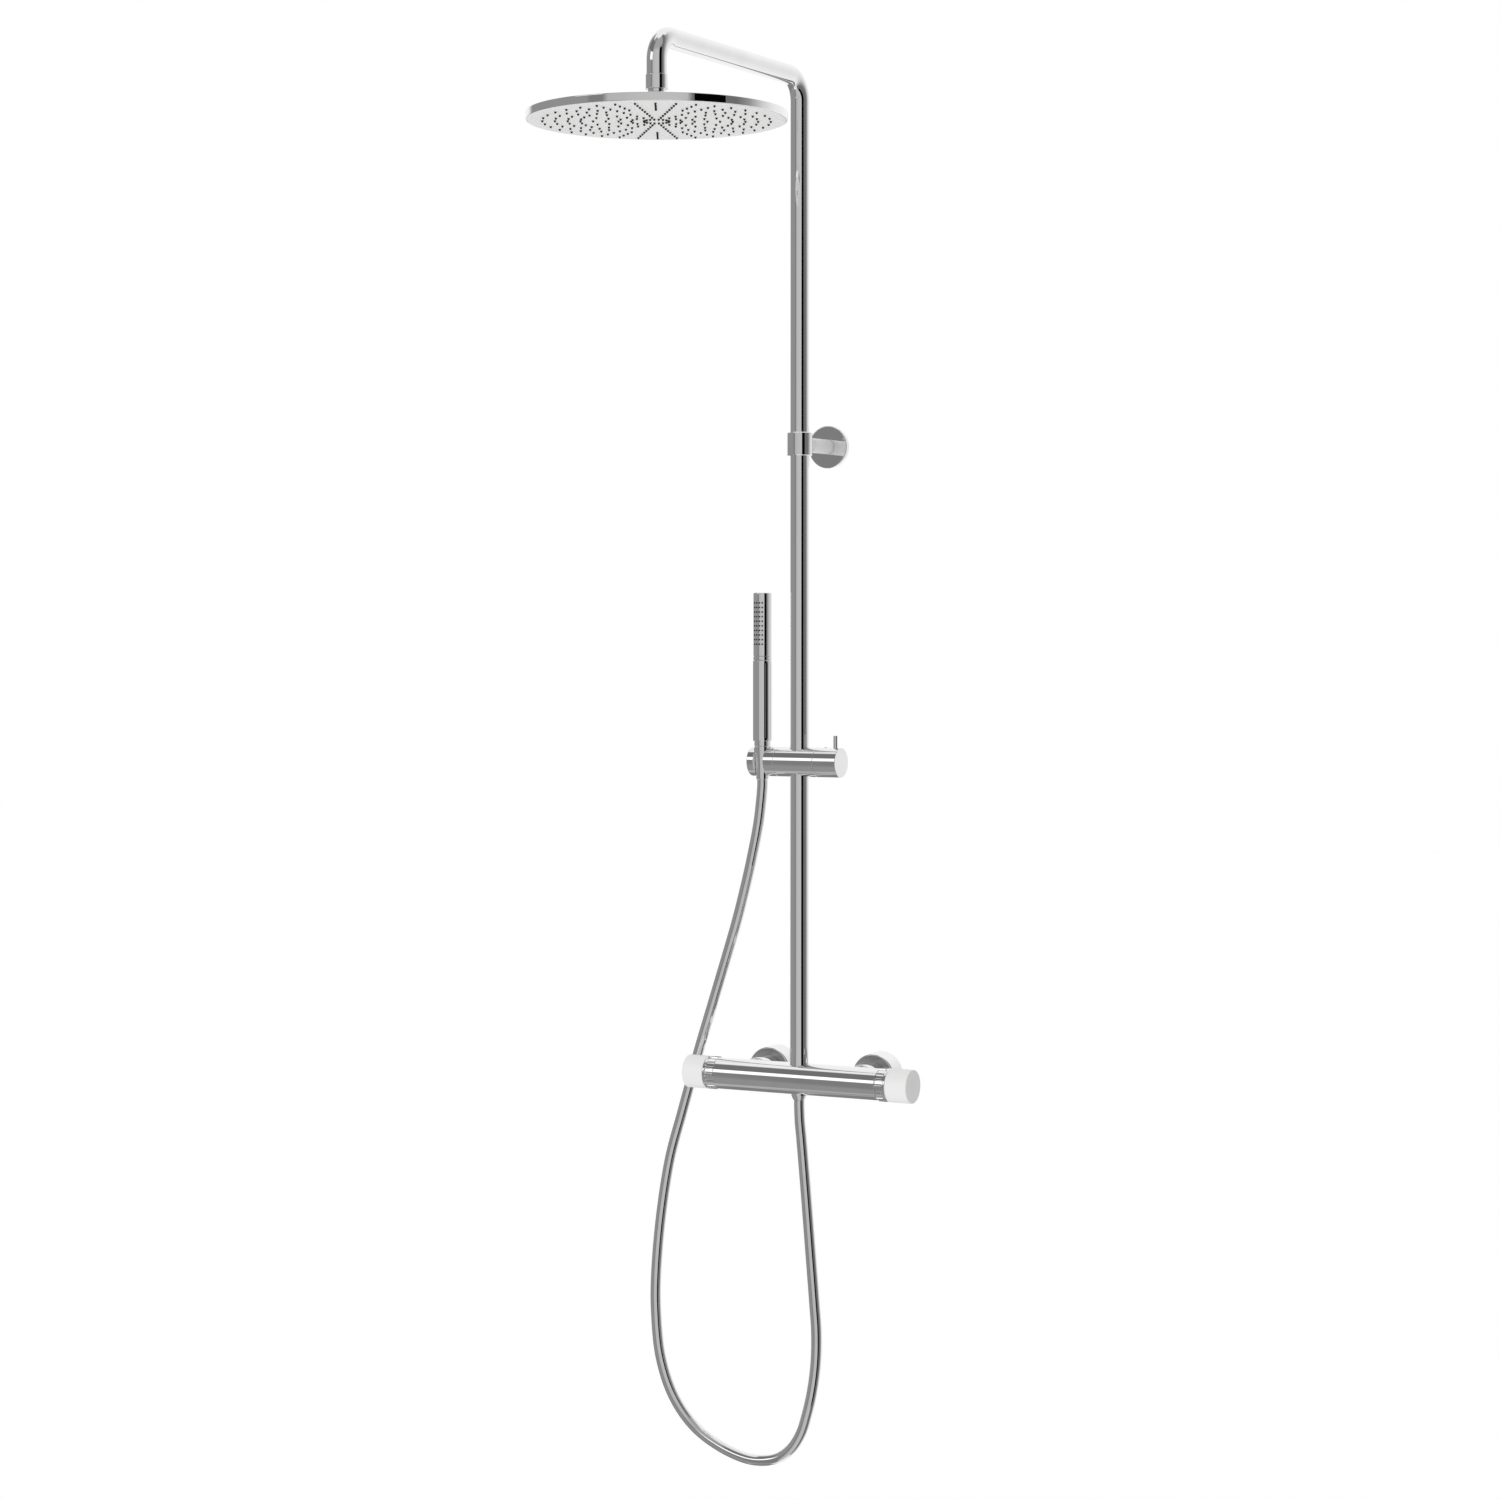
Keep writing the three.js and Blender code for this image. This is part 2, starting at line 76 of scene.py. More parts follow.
# ---- the camera ----
CAMERA_TURN = 28.95  # degrees round the column, from straight in front towards the right
CAMERA_DROP = 2.02  # degrees that it looks down
CAMERA_PLACE = (1.98750, -3.80453, 0.56384)  # metres
CAMERA_LENS = 80.55  # millimetres, on a sensor 36 mm wide


def make_camera():
    lens = bpy.data.cameras.new("camera")
    lens.sensor_width = 36
    lens.lens = CAMERA_LENS
    camera = bpy.data.objects.new("camera", lens)
    camera.location = CAMERA_PLACE
    camera.rotation_euler = (math.radians(90 - CAMERA_DROP), 0, math.radians(CAMERA_TURN))
    scene.collection.objects.link(camera)
    scene.camera = camera


make_camera()
scene.view_settings.view_transform = "Standard"


# ---- shader graphs ----
def linear(grey):
    """A display grey from 0 to 255 as linear light."""
    share = grey / 255
    return ((share + 0.055) / 1.055) ** 2.4 if share > 0.04 else share / 12.92


class Graph:
    """Adds and joins shader nodes with little typing."""

    def __init__(self, tree):
        self.tree = tree
        tree.nodes.clear()

    def add(self, kind, inputs=None, **settings):
        node = self.tree.nodes.new(kind)
        for key, value in settings.items():
            setattr(node, key, value)
        for key, value in (inputs or {}).items():
            self.feed(node.inputs[key], value)
        return node

    def feed(self, socket, value):
        if isinstance(value, bpy.types.NodeSocket):
            self.tree.links.new(value, socket)
        else:
            socket.default_value = value

    def math(self, operation, *values, clamp=False):
        inputs = dict(enumerate(values))
        return self.add("ShaderNodeMath", inputs, operation=operation, use_clamp=clamp).outputs[0]

    def mix(self, factor, a, b):
        node = self.add("ShaderNodeMix", data_type="RGBA")
        self.feed(node.inputs[0], factor)
        self.feed(node.inputs[6], a)
        self.feed(node.inputs[7], b)
        return node.outputs[2]

    def span(self, value, low, high, to_low=0.0, to_high=1.0):
        inputs = {0: value, 1: low, 2: high, 3: to_low, 4: to_high}
        return self.add("ShaderNodeMapRange", inputs, clamp=True).outputs[0]

    def window(self, value, low, high, soft):
        """1 between low and high, with soft edges."""
        rise = self.span(value, low - soft, low + soft)
        fall = self.span(value, high - soft, high + soft, 1.0, 0.0)
        return self.math("MULTIPLY", rise, fall)

    def patch(self, turn, turns, lift, lifts):
        """1 inside a range of turn and of lift; each range is low, high and softness."""
        return self.math("MULTIPLY", self.window(turn, *turns), self.window(lift, *lifts))

    def ramp(self, value, stops):
        node = self.add("ShaderNodeValToRGB", {0: value})
        elements = node.color_ramp.elements
        while len(elements) > 1:
            elements.remove(elements[-1])
        for i, (at, grey) in enumerate(stops):
            element = elements[0] if i == 0 else elements.new(at)
            element.position = at
            element.color = (grey, grey, grey, 1)
        return node.outputs[0]


# ---- the studio: what the chrome reflects, by direction ----
# Degrees round from the camera's direction, and the display grey reflected from there, near the horizon.
STUDIO_ROUND = [
    (-180, 250), (-150, 246), (-143, 205), (-139, 146), (-62, 146), (-58, 128), (-46, 128), (-41, 184),
    (-14, 192), (14, 195), (28, 190), (33, 108), (76, 112), (90, 150), (108, 212), (124, 236), (145, 248),
    (180, 250),
]


def grey_colour(grey, gain=1.0):
    value = linear(grey) * gain
    return (value, value, value, 1)


def make_studio():
    world = bpy.data.worlds.new("studio")
    scene.world = world
    world.use_nodes = True
    world.cycles.sampling_method = "NONE"
    graph = Graph(world.node_tree)
    direction = graph.add("ShaderNodeTexCoord").outputs["Generated"]
    x, y, z = graph.add("ShaderNodeSeparateXYZ", {0: direction}).outputs
    turn = graph.math("ARCTAN2", x, graph.math("MULTIPLY", y, -1.0))
    turn = graph.math("DEGREES", turn)
    turn = graph.math("WRAP", graph.math("SUBTRACT", turn, CAMERA_TURN), 180.0, -180.0)
    lift = graph.math("DEGREES", graph.math("ARCSINE", z))
    share = graph.span(turn, -180.0, 180.0)
    around = graph.ramp(share, [((at + 180) / 360, linear(grey)) for at, grey in STUDIO_ROUND])

    # Above the horizon: a strip light on the left, a dark gap over it, a dim front and a bright ceiling.
    strip = graph.patch(turn, (-74.0, -46.0, 2.0), lift, (10.2, 28.5, 0.4))
    gap = graph.patch(turn, (-112.0, -44.0, 5.0), lift, (30.0, 58.0, 1.0))
    dim = graph.patch(turn, (-44.0, 62.0, 4.0), lift, (38.0, 110.0, 5.0))
    behind = graph.window(graph.math("ABSOLUTE", turn), 90.0, 200.0, 6.0)
    ceiling = graph.math("MULTIPLY", behind, graph.span(lift, 56.0, 60.0))
    ceiling = graph.math("MAXIMUM", ceiling, graph.span(lift, 73.0, 78.0))
    metal = graph.mix(strip, around, grey_colour(255, 1.25))
    metal = graph.mix(gap, metal, grey_colour(114))
    metal = graph.mix(dim, metal, grey_colour(165))
    metal = graph.mix(ceiling, metal, grey_colour(244))

    # Below it: grey behind on the left with one thin bright line, and a bright floor.
    low = graph.math("MULTIPLY", graph.window(turn, -185.0, -122.0, 6.0), graph.span(lift, -8.0, -16.0))
    line = graph.patch(turn, (-135.0, -85.0, 4.0), lift, (-62.0, -58.5, 0.5))
    metal = graph.mix(low, metal, grey_colour(130))
    metal = graph.mix(line, metal, grey_colour(180))
    metal = graph.mix(graph.span(lift, -73.0, -77.0), metal, grey_colour(244))

    # What lights the matt pieces: brightest in front and on the left.
    soft = graph.math("MULTIPLY_ADD", x, -0.36, 0.82)
    soft = graph.math("MULTIPLY_ADD", y, -0.17, soft)
    soft = graph.math("MULTIPLY_ADD", z, -0.05, soft)
    rays = graph.add("ShaderNodeLightPath").outputs
    shade = graph.add("ShaderNodeCombineXYZ", {0: soft, 1: soft, 2: soft}).outputs[0]
    seen = graph.mix(rays["Is Glossy Ray"], shade, metal)
    seen = graph.mix(rays["Is Camera Ray"], seen, (1, 1, 1, 1))
    back = graph.add("ShaderNodeBackground", {"Color": seen})
    output = graph.add("ShaderNodeOutputWorld")
    graph.feed(output.inputs["Surface"], back.outputs[0])


make_studio()


# ---- materials ----
def surface(name, colour, metallic=0.0, **sockets):
    """A material with its graph, its shader and object coordinates, ready for detail."""
    material = bpy.data.materials.new(name)
    material.use_nodes = True
    graph = Graph(material.node_tree)
    shader = graph.add("ShaderNodeBsdfPrincipled", {"Base Color": colour, "Metallic": metallic})
    for key, value in sockets.items():
        shader.inputs[key.replace("_", " ")].default_value = value
    output = graph.add("ShaderNodeOutputMaterial")
    graph.feed(output.inputs["Surface"], shader.outputs[0])
    place = graph.add("ShaderNodeTexCoord").outputs["Object"]
    return material, graph, shader, place


def noise(graph, place, scale, detail=3.0, stretch=None):
    if stretch:
        place = graph.add("ShaderNodeMapping", {"Vector": place, "Scale": stretch}).outputs[0]
    return graph.add("ShaderNodeTexNoise", {"Vector": place, "Scale": scale, "Detail": detail}).outputs["Fac"]


def bumped(graph, shader, height, strength, distance):
    bump = graph.add("ShaderNodeBump", {"Height": height, "Strength": strength, "Distance": distance})
    graph.feed(shader.inputs["Normal"], bump.outputs[0])


def plated(name, colour, smooth, dull, stretch=None):
    """Polished plating: soft cloudy changes of gloss, wipe marks and a trace of the polishing."""
    material, graph, shader, place = surface(name, colour, 1.0)
    clouds = noise(graph, place, 38.0, 4.0, stretch)
    marks = noise(graph, place, 900.0, 2.0, stretch)
    film = graph.math("ADD", graph.math("MULTIPLY", clouds, 0.75), graph.math("MULTIPLY", marks, 0.25))
    graph.feed(shader.inputs["Roughness"], graph.span(film, 0.35, 0.75, smooth, dull))
    tint = graph.mix(graph.span(clouds, 0.4, 0.7), colour, [c * 0.965 for c in colour[:3]] + [1])
    graph.feed(shader.inputs["Base Color"], tint)
    bumped(graph, shader, marks, 0.02, 0.00002)
    return material


def moulded(name, colour, roughness, grain=2600.0, depth=0.00003):
    """Satin moulded or painted surface: fine grain, and gloss and shade that drift a little."""
    material, graph, shader, place = surface(name, colour)
    drift = noise(graph, place, 22.0, 3.0)
    fine = noise(graph, place, grain, 2.0)
    darker = [c * 0.96 for c in colour[:3]] + [1]
    graph.feed(shader.inputs["Base Color"], graph.mix(graph.span(drift, 0.35, 0.7), colour, darker))
    graph.feed(shader.inputs["Roughness"], graph.span(drift, 0.3, 0.7, roughness - 0.04, roughness + 0.05))
    bumped(graph, shader, fine, 0.25, depth)
    return material


def machined(name, colour, roughness):
    """Turned or rolled metal with fine tool marks and slightly darker patches."""
    material, graph, shader, place = surface(name, colour, 1.0)
    patches = noise(graph, place, 60.0, 4.0)
    lines = noise(graph, place, 300.0, 3.0, (1.0, 1.0, 14.0))
    darker = [c * 0.72 for c in colour[:3]] + [1]
    graph.feed(shader.inputs["Base Color"], graph.mix(graph.span(patches, 0.45, 0.75), colour, darker))
    graph.feed(shader.inputs["Roughness"], graph.span(lines, 0.3, 0.7, roughness - 0.07, roughness + 0.1))
    bumped(graph, shader, lines, 0.2, 0.00005)
    return material


CHROME = (0.93, 0.93, 0.935, 1)
looks = {
    "chrome": plated("chrome_cast", CHROME, 0.012, 0.03),
    "chrome_tube": plated("chrome_drawn", CHROME, 0.012, 0.028, (1.0, 1.0, 0.06)),
    "cap_white": moulded("cap_satin_white", (0.93, 0.93, 0.925, 1), 0.42),
    "spray_face": moulded("spray_face_satin", (0.93, 0.93, 0.925, 1), 0.5, 1800.0),
    "hose_silver": plated("hose_silver", (0.90, 0.90, 0.90, 1), 0.035, 0.06),
    "brass": machined("brass_turned", (0.72, 0.53, 0.25, 1), 0.3),
    "steel": machined("steel_zinc", (0.62, 0.63, 0.64, 1), 0.32),
    "white_plastic": moulded("plastic_inner", (0.84, 0.83, 0.79, 1), 0.5),
    # darker copy of the chrome for the escutcheon fronts: painted shade on their flat front faces
    "chrome_face_painted_shade": plated("chrome_face_painted_shade", (0.38, 0.38, 0.385, 1), 0.30, 0.34),
    "spacer": moulded("spacer_satin_white", (0.97, 0.97, 0.965, 1), 0.4),
    "liner": moulded("liner_white", (0.86, 0.86, 0.855, 1), 0.4),
    "black_rubber": moulded("silicone_black", (0.012, 0.012, 0.013, 1), 0.55, 3200.0),
}


# ---- meshes ----
def mesh_piece(name, vertices, faces, at=None, sharp=32):
    """A new smooth-shaded object from points in millimetres, which at may turn and move."""
    points = [(at @ Vector(v) if at else Vector(v)) * MM for v in vertices]
    mesh = bpy.data.meshes.new(name)
    mesh.from_pydata(points, [], faces)
    mesh.shade_smooth()
    mesh.set_sharp_from_angle(angle=math.radians(sharp))
    piece = bpy.data.objects.new(name, mesh)
    scene.collection.objects.link(piece)
    return piece


def upright(x, y, z=0.0):
    return Matrix.Translation((x, y, z))


def rightward(x, y, z):
    """Local Z along +X."""
    return Matrix.Translation((x, y, z)) @ Matrix.Rotation(math.pi / 2, 4, "Y")


def leftward(x, y, z):
    return Matrix.Translation((x, y, z)) @ Matrix.Rotation(-math.pi / 2, 4, "Y")


def off_wall(x, z):
    """Local Z leaves the wall."""
    return Matrix.Translation((x, 0, z)) @ Matrix.Rotation(math.pi / 2, 4, "X")


ARC_STEPS = 5


def rounded(profile):
    """Replaces each corner (r, z, fillet) by an arc with a short support edge on each side."""
    points = []
    for i, corner in enumerate(profile):
        here = Vector(corner[:2])
        fillet = corner[2] if len(corner) > 2 else 0
        if not fillet:
            points.append(here)
            continue
        before = Vector(profile[i - 1][:2])
        after = Vector(profile[(i + 1) % len(profile)][:2])
        into = (before - here).normalized()
        out = (after - here).normalized()
        half = into.angle(out) / 2
        reach = fillet / math.tan(half)
        centre = here + (into + out).normalized() * (fillet / math.sin(half))
        start = here + into * reach - centre
        end = here + out * reach - centre
        first = math.atan2(start.y, start.x)
        sweep = (math.atan2(end.y, end.x) - first + math.pi) % (2 * math.pi) - math.pi
        points.append(centre + start + into * min(0.4 * fillet, ((before - here).length - reach) / 3))
        for k in range(ARC_STEPS + 1):
            a = first + sweep * k / ARC_STEPS
            points.append(centre + fillet * Vector((math.cos(a), math.sin(a))))
        points.append(centre + end + out * min(0.4 * fillet, ((after - here).length - reach) / 3))
    return [(p.x, p.y) for p in points]


def turned(name, profile, at, segments=96, ring=False):
    """A turned piece about local Z. The profile rises on its outer side; ring closes it on itself."""
    vertices = []
    rows = []
    for r, z in rounded(profile):
        count = segments if r > 1e-6 else 1
        rows.append([len(vertices) + i for i in range(count)])
        angles = [2 * math.pi * i / count for i in range(count)]
        vertices += [(r * math.cos(a), r * math.sin(a), z) for a in angles]
    pairs = list(zip(rows, rows[1:])) + ([(rows[-1], rows[0])] if ring else [])
    faces = []
    for low, high in pairs:
        for i in range(segments):
            j = (i + 1) % segments
            corners = [low[i % len(low)], low[j % len(low)], high[j % len(high)], high[i % len(high)]]
            face = list(dict.fromkeys(corners))
            if len(face) > 2:
                faces.append(face)
    return mesh_piece(name, vertices, faces, at)


def skinned(name, rows, at=None, closed=False, sharp=32):
    """A surface through rows of points that each close on themselves, with flat ends unless closed."""
    count = len(rows[0])
    vertices = [p for row in rows for p in row]
    faces = []
    steps = len(rows) if closed else len(rows) - 1
    for k in range(steps):
        low = k * count
        high = ((k + 1) % len(rows)) * count
        for i in range(count):
            j = (i + 1) % count
            faces.append([low + i, low + j, high + j, high + i])
    if not closed:
        faces.append([count - 1 - i for i in range(count)])
        faces.append([len(vertices) - count + i for i in range(count)])
    return mesh_piece(name, vertices, faces, at, sharp)


def carve(piece, tool, operation="DIFFERENCE"):
    """Cuts tool out of piece, or joins it on, and removes the tool."""
    change = piece.modifiers.new("carve", "BOOLEAN")
    change.object = tool
    change.operation = operation
    change.solver = "EXACT"
    evaluated = piece.evaluated_get(bpy.context.evaluated_depsgraph_get())
    piece.data = bpy.data.meshes.new_from_object(evaluated)
    piece.modifiers.clear()
    bpy.data.objects.remove(tool)
    return piece


def true_normals(piece, cylinders, sharp=32):
    """Gives faces that lie on a cylinder (point, direction, radius) that cylinder's exact normals."""
    mesh = piece.data
    mesh.shade_smooth()
    mesh.set_sharp_from_angle(angle=math.radians(sharp))
    normals = [Vector(n.vector) for n in mesh.corner_normals]
    points = [v.co / MM for v in mesh.vertices]
    for point, direction, radius in cylinders:
        axis = Vector(direction)
        base = Vector(point)
        arms = [(p - base) - axis * (p - base).dot(axis) for p in points]
        on_it = [abs(arm.length - radius) < 0.04 for arm in arms]
        for face in mesh.polygons:
            if not all(on_it[v] for v in face.vertices):
                continue
            middle = sum((arms[v].normalized() for v in face.vertices), Vector())
            if middle.length < 1e-6 or abs(middle.normalized().dot(face.normal)) < 0.9:
                continue
            side = 1 if middle.dot(face.normal) > 0 else -1
            for loop in face.loop_indices:
                normals[loop] = arms[mesh.loops[loop].vertex_index].normalized() * side
    mesh.normals_split_custom_set([tuple(n) for n in normals])
    return piece


def install(piece, *nodes, look=None):
    """The piece stands for these CAD nodes: it takes their body, slot and finish."""
    slot = slot_of[nodes[0]]
    piece.data.materials.clear()
    piece.data.materials.append(looks[look or slot])
    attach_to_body(piece, body_of[nodes[0]])
    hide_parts(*nodes)
    return piece


def attach(piece, body, slot, look=None):
    """A piece that the CAD model leaves out rides on a body of its own choice."""
    piece.data.materials.clear()
    piece.data.materials.append(looks[look or slot])
    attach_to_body(piece, body)
    return piece


# ---- places taken from the frame ----
riser = Place("riser_tube")
mixer = Place("mixer_body")
rose = Place("rose_shell")
arm = Place("shower_arm")
collar = Place("bracket_collar")
hub_place = Place("slider_body")
hold = Place("holder")
knob = Place("lock_knob")
grip = Place("handset_grip")
cone = Place("hose_cone_nut")
lower_nut = Place("hose_lower_nut")
hot_escutcheon = Place("hot_escutcheon")
flange = Place("bracket_flange")
COLUMN_Y = riser.centre.y
TUBE_R = riser.half.x
MIXER_R = 20.0
GAP = 0.3  # between neighbouring pieces
SLIP = 0.15  # what a piece that closes on a tube leaves round it
ARM_END_Z = 1195.0  # lower end of the arm, just inside the rose's ferrule
INLET_X = hot_escutcheon.centre.x

# ---- the hose: 1.49 m along one curve, in three stretches ----
HOSE_R = 7.0
HAND_X = cone.centre.x
HAND_Y = cone.centre.y
HOSE_ROUTE = [
    (HAND_X, HAND_Y, cone.low.z - GAP), (HAND_X, HAND_Y, 369), (-51.5, -88.3, 354), (-57, -86, 322),
    (-70, -79, 279), (-83, -71.5, 243), (-101, -63, 195), (-120, -57, 146), (-142, -52, 88),
    (-166.5, -49, 19), (-180, -49, -26), (-190, -51, -62), (-204.5, -55.5, -118),
    (-214.5, -62.5, -195), (-217.5, -70, -270), (-215.5, -74, -315), (-205.5, -79, -375),
    (-185, -82, -423), (-154, -84, -458), (-116, -86, -479), (-76, -87, -490.5), (-51, -86.5, -491),
    (-28, -86.2, -485), (-9.5, -86, -471), (4, -85.5, -450), (12, -85, -426), (19.5, -84.5, -395),
    (24.5, -84, -357), (25, -83.5, -319), (22, -83, -283), (15.5, -83, -209), (9, -83, -136),
    (3.2, -83, -75), (0.8, -83, -52), (0, COLUMN_Y, -35), (0, COLUMN_Y, lower_nut.low.z - GAP),
]
HOSE_STEP = 3.0
TOP_LENGTH = 105  # from the hose nut to the first change of stretch
UPPER_LENGTH = 235  # from the hose nut to the second


def hose_centreline():
    """Even steps along a centripetal Catmull-Rom curve, with a straight lead at each end."""
    stations = np.array(HOSE_ROUTE, float)
    inner = stations[1:-1]
    padded = np.vstack([2 * inner[0] - inner[1], inner, 2 * inner[-1] - inner[-2]])
    found = [stations[0]]
    for p0, p1, p2, p3 in zip(padded, padded[1:], padded[2:], padded[3:]):
        spans = ((p0, p1), (p1, p2), (p2, p3))
        knots = np.cumsum([0] + [np.linalg.norm(b - a) ** 0.5 for a, b in spans])
        t0, t1, t2, t3 = knots
        for t in np.linspace(t1, t2, 24, endpoint=False):
            a1 = ((t1 - t) * p0 + (t - t0) * p1) / (t1 - t0)
            a2 = ((t2 - t) * p1 + (t - t1) * p2) / (t2 - t1)
            a3 = ((t3 - t) * p2 + (t - t2) * p3) / (t3 - t2)
            b1 = ((t2 - t) * a1 + (t - t0) * a2) / (t2 - t0)
            b2 = ((t3 - t) * a2 + (t - t1) * a3) / (t3 - t1)
            found.append(((t2 - t) * b1 + (t - t1) * b2) / (t2 - t1))
    found += [inner[-1], stations[-1]]
    found = np.array(found)
    along = np.r_[0, np.cumsum(np.linalg.norm(np.diff(found, axis=0), axis=1))]
    places = np.linspace(0, along[-1], round(along[-1] / HOSE_STEP) + 1)
    return np.stack([np.interp(places, along, found[:, k]) for k in range(3)], 1)


def tube_rows(path, radius, sides=24):
    """Rings of points square to the path, carried along it without twist."""
    tangents = np.gradient(path, axis=0)
    tangents /= np.linalg.norm(tangents, axis=1)[:, None]
    side = np.array([1.0, 0, 0]) if abs(tangents[0][0]) < 0.7 else np.array([0, 1.0, 0])
    rows = []
    for point, tangent in zip(path, tangents):
        side = side - tangent * (side @ tangent)
        side /= np.linalg.norm(side)
        other = np.cross(tangent, side)
        angles = [2 * math.pi * i / sides for i in range(sides)]
        rows.append([tuple(point + radius * (math.cos(a) * side + math.sin(a) * other)) for a in angles])
    return rows


def make_hose():
    path = hose_centreline()
    rows = tube_rows(path, HOSE_R)
    top_end = round(TOP_LENGTH / HOSE_STEP)
    middle_end = round(UPPER_LENGTH / HOSE_STEP)
    stretches = [
        ("hose_top", 0, top_end, "hose_nut", "holder"),
        ("hose_middle", top_end, middle_end, "holder", "slider"),
        ("hose_main", middle_end, len(path) - 1, "slider", "root"),
    ]
    for name, first, last, upper, lower in stretches:
        piece = skinned(name, rows[first:last + 1])
        piece.data.materials.append(looks["hose_silver"])
        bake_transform(piece)
        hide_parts("shower_hose")


make_hose()


# ---- mixer body, union nuts, escutcheons and outlet ----
def make_mixer():
    axis = rightward(0, COLUMN_Y, 0)
    end = mixer.half.x
    tube = turned("mixer_body_detail", [
        (0, -end), (MIXER_R, -end, 0.7), (MIXER_R, end, 0.7), (0, end),
    ], axis, 144)
    boss_r = 16.5
    boss_end = mixer.high.y - COLUMN_Y
    surfaces = [((0, COLUMN_Y, 0), (1, 0, 0), MIXER_R)]
    for x in (-INLET_X, INLET_X):
        at = Matrix.Translation((x, COLUMN_Y, 0)) @ Matrix.Rotation(-math.pi / 2, 4, "X")
        boss = turned("boss", [(0, 4), (boss_r, 4), (boss_r, boss_end, 0.6), (0, boss_end)], at, 96)
        carve(tube, boss, "UNION")
        surfaces.append(((x, COLUMN_Y, 0), (0, 1, 0), boss_r))
    true_normals(tube, surfaces)
    install(tube, "mixer_body")


def make_inlet(name, x):
    at = off_wall(x, 0)
    deep = -hot_escutcheon.low.y
    shell = turned(name + "_escutcheon_detail", [
        (14, deep - 1.4, 0.3), (27.6, deep - 1.4, 1.6), (29.0, 0, 0.3), (30.6, 0, 0.4), (29.3, deep, 2.2),
        (14, deep, 0.5),
    ], at, 128, ring=True)
    install(shell, name + "_escutcheon")
    # the flat front faces take the darker chrome: painted shade
    shell.data.materials.append(looks["chrome_face_painted_shade"])
    for face in shell.data.polygons:
        if face.normal.y < -0.95:
            face.material_index = 1
    nut_foot, nut_top, face = deep + 0.3, 59.0, 54.8  # the nut's foot hides the union behind it
    nut = turned(name + "_union_nut_detail", [
        (13.6, nut_foot, 0.4), (19.5, nut_foot, 1.6), (19.5, nut_top, 1.2), (16.9, nut_top, 0.3),
        (16.9, face - 2), (13.6, face - 2),
    ], at, 128, ring=True)
    install(nut, name + "_union_nut")
    pitch = 1.81  # G1/2 has 14 threads to the inch
    thread = [(7, -14, 0.2)]
    turns = 11
    for i in range(turns):
        foot = -13.2 + i * pitch
        thread += [(9.2, foot), (10.25, foot + 0.45 * pitch), (10.25, foot + 0.55 * pitch)]
    thread += [(9.2, -13.2 + turns * pitch), (9.8, 9.2), (13.2, 12, 0.4), (13.2, 51.8, 0.4), (9, 51.8)]
    thread += [(9, 14), (7, 10)]
    install(turned(name + "_union_detail", thread, at, 72, ring=True), name + "_union")


def make_outlet():
    rows = []
    sides = 96
    foot, waist = lower_nut.low.z, -20.6
    profile = rounded([
        (6, foot + 5), (6, foot, 0.2), (7.6, foot, 0.3), (10.3, waist, 1.2), (10.3, -15), (6, -15),
    ])
    for r, z in profile:
        row = []
        for i in range(sides):
            a = 2 * math.pi * i / sides
            px, py = r * math.cos(a), r * math.sin(a)
            saddle = -math.sqrt((MIXER_R + 0.15) ** 2 - py ** 2)
            row.append((px, COLUMN_Y + py, saddle if z == -15 else min(z, saddle - 0.01)))
        rows.append(row)
    install(skinned("hose_lower_nut_detail", rows, closed=True), "hose_lower_nut")


make_mixer()
make_inlet("hot", -INLET_X)
make_inlet("cold", INLET_X)
make_outlet()


# ---- handles: a chrome ring with finger recesses and a white cap on each end ----
HANDLE_R = 21.0
RECESSES = 14
RECESS_R = 3.4
RECESS_DEPTH = 1.5
RECESS_WALL = 0.8


def smooth(t):
    t = min(max(t, 0.0), 1.0)
    return t * t * (3 - 2 * t)


def recess_at(x, angle, centre_x):
    """How deep the ring's surface is cut at this place: U shapes with a round end, open inwards."""
    pitch = 2 * math.pi / RECESSES
    off = (angle + pitch / 2) % pitch - pitch / 2
    across = HANDLE_R * off
    along = max(0.0, x - centre_x)
    return RECESS_DEPTH * smooth((RECESS_R - math.hypot(across, along)) / RECESS_WALL + 0.5)


def make_handle(side, ring_node, cap_node):
    place = Place(ring_node)
    near = min(abs(place.low.x), abs(place.high.x)) - 0.4
    far = max(abs(place.low.x), abs(place.high.x))
    at = rightward(0, COLUMN_Y, 0) if side > 0 else leftward(0, COLUMN_Y, 0)
    columns = RECESSES * 32
    bore = 17.2
    edge = 0.5
    outer = []
    for k in range(ARC_STEPS + 1):
        a = math.pi / 2 * k / ARC_STEPS
        outer.append((near + edge - edge * math.cos(a), HANDLE_R - edge + edge * math.sin(a)))
    across = 40
    outer += [(near + edge + (far - near - 2 * edge) * k / across, HANDLE_R) for k in range(1, across)]
    for k in range(ARC_STEPS + 1):
        a = math.pi / 2 * (1 - k / ARC_STEPS)
        outer.append((far - edge + edge * math.cos(a), HANDLE_R - edge + edge * math.sin(a)))
    profile = [(near, bore), (near, bore + 1.5)] + outer + [(far, bore + 2.5), (far, bore)]
    rows = []
    for z, r in profile:
        row = []
        for i in range(columns):
            a = 2 * math.pi * i / columns
            deep = recess_at(z, a, near + 8.8) if r > bore + 2.6 else 0.0
            row.append(((r - deep) * math.cos(a), (r - deep) * math.sin(a), z))
        rows.append(row)
    install(skinned(ring_node + "_detail", rows, at, closed=True, sharp=50), ring_node)

    cap_place = Place(cap_node)
    foot = min(abs(cap_place.low.x), abs(cap_place.high.x)) - 11
    end = max(abs(cap_place.low.x), abs(cap_place.high.x))
    start = far + GAP
    cap = turned(cap_node + "_detail", [
        (0, end - 8), (5.2, end - 8), (5.2, foot, 0.3), (8, foot, 0.3), (8, end - 5), (18.6, end - 5),
        (18.6, start, 0.2), (HANDLE_R, start, 0.35), (HANDLE_R, end, 1.0), (0, end),
    ], at, 144)
    install(cap, cap_node)


make_handle(1, "temperature_ring", "temperature_cap")
make_handle(-1, "flow_ring", "flow_cap")


